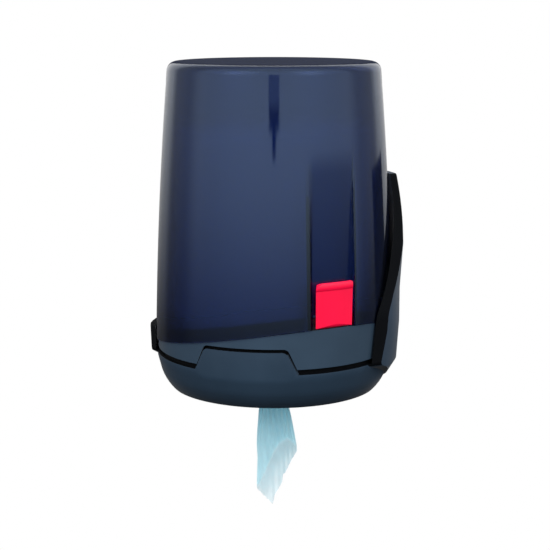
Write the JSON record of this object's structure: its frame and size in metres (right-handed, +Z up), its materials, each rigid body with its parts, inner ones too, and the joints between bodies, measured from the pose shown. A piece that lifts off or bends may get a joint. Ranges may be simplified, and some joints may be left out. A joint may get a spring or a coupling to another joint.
{
  "type": "wall-mounted centre-feed paper dispenser",
  "caption": "Translucent drum over a paper roll on a dark cup that lifts out of a wall cradle, with a red side latch and a paper tail drawn from the nozzle below.",
  "frame": {"origin": "centre of the four wall screw holes, in the plane of the wall", "axes": "+Y into the wall, so the front faces -Y; +Z up; +X to the right of someone who faces the dispenser"},
  "size_m": [0.2567, 0.2553, 0.4561],
  "materials": {
    "dark_plastic": "satin",
    "smoke_plastic": "gloss",
    "red_plastic": "satin",
    "grey_plastic": "matte",
    "steel": "satin",
    "paper": "matte"
  },
  "bodies": {
    "bracket": {"wall_plate": "grey_plastic", "cradle": "dark_plastic", "cradle_screws": "steel"},
    "cup": {"base_cup": "dark_plastic", "roll_plate": "grey_plastic", "plate_screws": "steel", "exit_nozzle": "grey_plastic", "nozzle_nut": "grey_plastic", "tear_ring": "steel", "latch_bracket": "grey_plastic", "latch_bracket_screws": "steel", "latch_pin": "steel", "latch_spring": "steel", "paper_roll": "paper", "paper_tail": "paper"},
    "cover": {"drum_cover": "smoke_plastic"},
    "latch": {"latch_lever": "red_plastic"}
  },
  "joints": [
    {"name": "unit_lift", "type": "slide", "parent": "bracket", "child": "cup", "axis": [0, 0, 1], "range_m": [0, 0.06]},
    {"name": "cover_lift", "type": "slide", "parent": "cup", "child": "cover", "axis": [0, 0, 1], "range_m": [0, 0.26]},
    {"name": "latch_turn", "type": "hinge", "parent": "cup", "child": "latch", "pos_m": [0.08256, -0.21422, -0.04177], "axis": [0.6896, 0.7242, 0], "range_deg": [0, 35], "stiffness_Nm_per_rad": 0.05, "springref_deg": -11.46}
  ]
}
